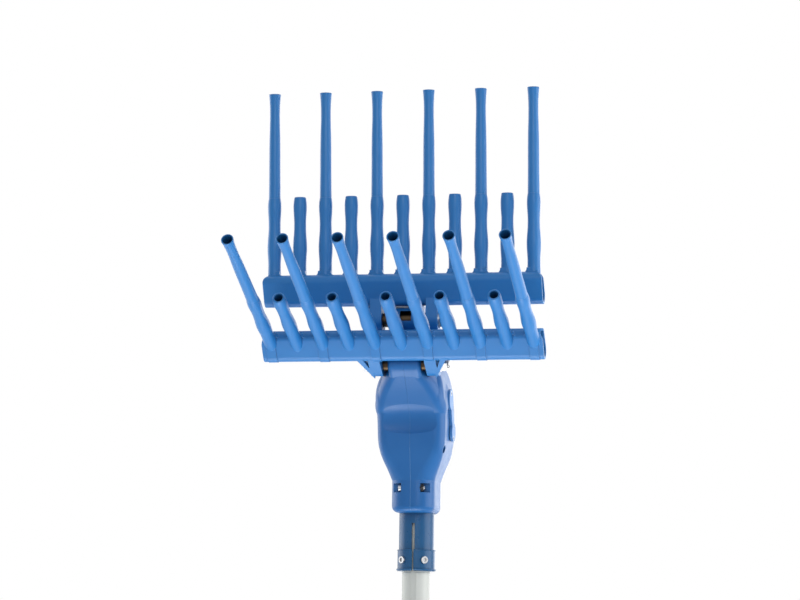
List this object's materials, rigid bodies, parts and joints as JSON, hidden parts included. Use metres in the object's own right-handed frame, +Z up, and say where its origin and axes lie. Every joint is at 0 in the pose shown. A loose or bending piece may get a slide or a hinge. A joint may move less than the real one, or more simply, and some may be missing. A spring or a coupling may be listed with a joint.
{
  "type": "electric olive harvester",
  "caption": "Olive harvester head on a pole section: two tined combs on pivots swing against each other in a V, driven by a crank and motor in a moulded casing.",
  "frame": {"origin": "centre of the lower end of the pole section", "axes": "+Z up along the pole, -Y to the side the combs open to, +X to the right along the comb bars"},
  "size_m": [0.306, 0.3273, 0.748],
  "materials": {
    "comb_plastic": "satin moulded",
    "tine_plastic": "satin moulded",
    "housing_plastic": "satin moulded",
    "cover_plastic": "satin moulded",
    "clamp_paint": "semi-gloss enamel",
    "pole_aluminium": "satin anodised",
    "bolt_steel": "zinc plated",
    "bronze": "plain turned",
    "gear_steel": "machined, oiled",
    "motor_steel": "plated",
    "magnet": "sintered",
    "copper": "drawn",
    "carbon": "pressed carbon",
    "black_plastic": "moulded",
    "lead_rubber": "sheathed",
    "rod_alloy": "cast",
    "black_oxide": "blackened, oiled"
  },
  "bodies": {
    "head": {"pole": "pole_aluminium", "pole_end_plug": "black_plastic", "power_inlet": "black_plastic", "power_lead": "lead_rubber", "clamp_sleeve": "clamp_paint", "clamp_band": "clamp_paint", "clamp_screws": "bolt_steel", "housing_left": "housing_plastic", "housing_right": "housing_plastic", "side_cover_left": "cover_plastic", "side_cover_right": "cover_plastic", "cover_screws": "bolt_steel", "shell_screws": "bolt_steel", "shell_nuts": "bolt_steel", "collar_bolt": "bolt_steel", "collar_nut": "black_oxide", "motor_can": "motor_steel", "motor_end_cap": "black_plastic", "motor_magnets": "magnet", "motor_brushes": "carbon", "motor_bearings": "motor_steel", "motor_terminal": "black_plastic", "crank_bearings": "motor_steel", "front_bushes": "bronze", "rear_bushes": "bronze"},
    "front_swing": {"front_comb": "comb_plastic", "front_tine_1": "tine_plastic", "front_tine_2": "tine_plastic", "front_tine_3": "tine_plastic", "front_tine_4": "tine_plastic", "front_tine_5": "tine_plastic", "front_tine_6": "tine_plastic", "front_axle": "bolt_steel", "front_axle_washers": "bolt_steel", "front_axle_nut": "bolt_steel", "front_lever": "gear_steel", "front_rod_pin": "gear_steel", "front_spacer": "bronze"},
    "rear_swing": {"rear_comb": "comb_plastic", "rear_tine_1": "tine_plastic", "rear_tine_2": "tine_plastic", "rear_tine_3": "tine_plastic", "rear_tine_4": "tine_plastic", "rear_tine_5": "tine_plastic", "rear_tine_6": "tine_plastic", "rear_axle": "bolt_steel", "rear_axle_washers": "bolt_steel", "rear_axle_nut": "bolt_steel", "rear_lever": "gear_steel", "rear_rod_pin": "gear_steel", "rear_spacer": "bronze"},
    "crank": {"crankshaft": "gear_steel", "crank_gear": "gear_steel"},
    "rotor": {"rotor_shaft": "motor_steel", "rotor_core": "motor_steel", "commutator": "copper", "pinion": "gear_steel"},
    "front_link": {"front_rod": "rod_alloy"},
    "rear_link": {"rear_rod": "rod_alloy"}
  },
  "joints": [
    {"name": "front_comb_swing", "type": "hinge", "parent": "head", "child": "front_swing", "pos_m": [0, -0.0718, 0.457], "axis": [1, 0, 0], "range_deg": [-10, 10]},
    {"name": "rear_comb_swing", "type": "hinge", "parent": "head", "child": "rear_swing", "pos_m": [0, -0.0767, 0.5034], "axis": [1, 0, 0], "range_deg": [-10, 10]},
    {"name": "crank_turn", "type": "hinge", "parent": "head", "child": "crank", "pos_m": [0, -0.02, 0.424], "axis": [1, 0, 0], "range_deg": [-60, 60]},
    {"name": "rotor_turn", "type": "hinge", "parent": "head", "child": "rotor", "pos_m": [0, -0.00427, 0.38996], "axis": [1, 0, 0], "range_deg": [-120, 120]},
    {"name": "front_rod_pivot", "type": "hinge", "parent": "front_swing", "child": "front_link", "pos_m": [0, -0.0581, 0.46868], "axis": [1, 0, 0], "range_deg": [-10, 10]},
    {"name": "rear_rod_pivot", "type": "hinge", "parent": "rear_swing", "child": "rear_link", "pos_m": [0, -0.06037, 0.51098], "axis": [1, 0, 0], "range_deg": [-10, 10]}
  ],
  "couplings": [
    {"joint": "rear_comb_swing", "follows": "front_comb_swing", "ratio": -1},
    {"joint": "crank_turn", "follows": "front_comb_swing", "ratio": 6},
    {"joint": "rotor_turn", "follows": "front_comb_swing", "ratio": -12},
    {"joint": "front_rod_pivot", "follows": "front_comb_swing", "ratio": -1},
    {"joint": "rear_rod_pivot", "follows": "front_comb_swing", "ratio": 1}
  ]
}
